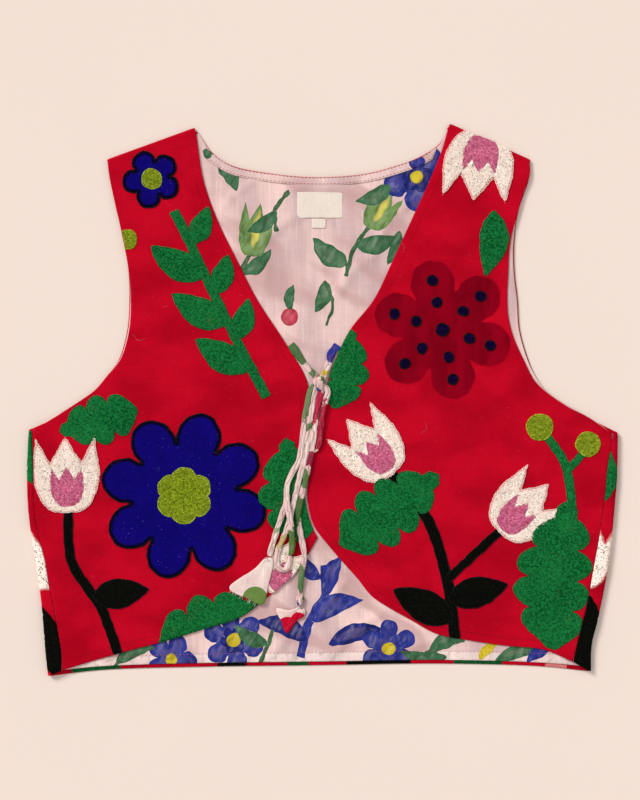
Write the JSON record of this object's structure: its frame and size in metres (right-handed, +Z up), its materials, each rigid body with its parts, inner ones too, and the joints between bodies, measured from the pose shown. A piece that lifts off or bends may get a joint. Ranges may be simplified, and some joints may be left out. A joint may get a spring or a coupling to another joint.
{
  "type": "embroidered vest, laid flat",
  "caption": "Short sleeveless vest of embroidered red cotton with a printed lining, laid flat with its fronts tied over its back.",
  "frame": {"origin": "middle of the underside of the flat vest, ties apart, where it rests", "axes": "+Z up out of the fronts, +Y towards the neck, +X to the viewer's right across the chest"},
  "size_m": [0.5488, 0.5134, 0.0148],
  "materials": {
    "embroidered_cotton": "red plain-weave cotton with raised chenille and chain-stitch embroidery",
    "printed_voile": "pale pink slub voile with a small floral print",
    "woven_label": "bare cream woven label",
    "tie_voile": "rolled strips of pale printed voile"
  },
  "bodies": {
    "root": {"back": "embroidered_cotton", "front_left": "embroidered_cotton", "front_right": "embroidered_cotton", "back_lining": "printed_voile", "neck_facing": "printed_voile", "neck_label": "woven_label", "size_tab": "woven_label", "tie_left": "tie_voile", "tie_right": "tie_voile", "tie_knot": "tie_voile", "tie_fold": "tie_voile", "tie_loop": "tie_voile", "tie_tuck": "tie_voile", "tie_end_left": "tie_voile", "tie_end_right": "tie_voile", "tie_end_knot": "tie_voile", "tie_flare_left": "tie_voile", "tie_flare_right": "tie_voile"}
  },
  "joints": []
}
